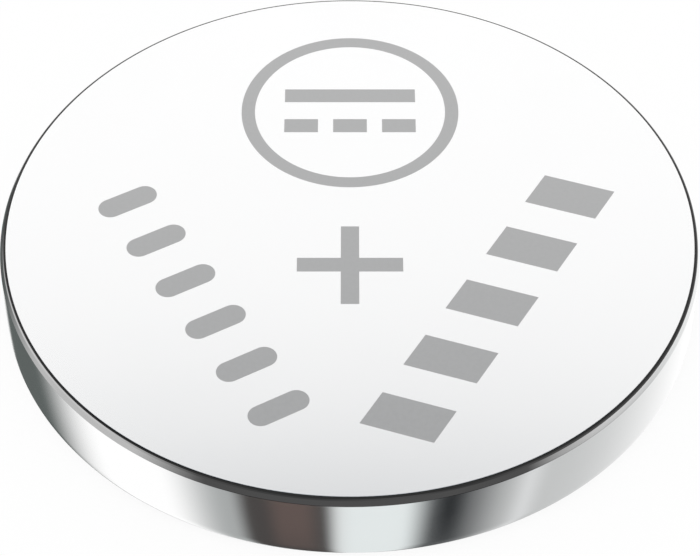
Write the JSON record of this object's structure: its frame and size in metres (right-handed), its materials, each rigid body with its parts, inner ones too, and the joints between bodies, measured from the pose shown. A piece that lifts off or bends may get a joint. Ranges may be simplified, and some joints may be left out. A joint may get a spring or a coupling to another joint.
{
  "type": "lithium coin cell",
  "caption": "Flat round lithium coin cell: a steel can with a marked positive face, a plastic gasket and a stepped negative cap underneath, for small electronics.",
  "frame": {"origin": "middle of the negative face, where the cell rests", "axes": "+Z along the cell's axis, from the negative face to the positive face; -Y towards the viewer who sees the plus sign upright"},
  "size_m": [0.02, 0.02, 0.0025],
  "materials": {
    "can_steel": "bright satin face with a polished wall",
    "gasket_plastic": "smooth moulded",
    "cap_steel": "satin",
    "lithium_foil": "dull silver",
    "separator_fleece": "non-woven",
    "cathode_black": "pressed powder",
    "collector_steel": "plain",
    "mark_grey": "flat grey mark"
  },
  "bodies": {
    "root": {"positive_can": "can_steel", "gasket": "gasket_plastic", "negative_cap": "cap_steel", "lithium_anode": "lithium_foil", "separator": "separator_fleece", "cathode_pellet": "cathode_black", "current_collector": "collector_steel", "face_marks": "mark_grey"}
  },
  "joints": []
}
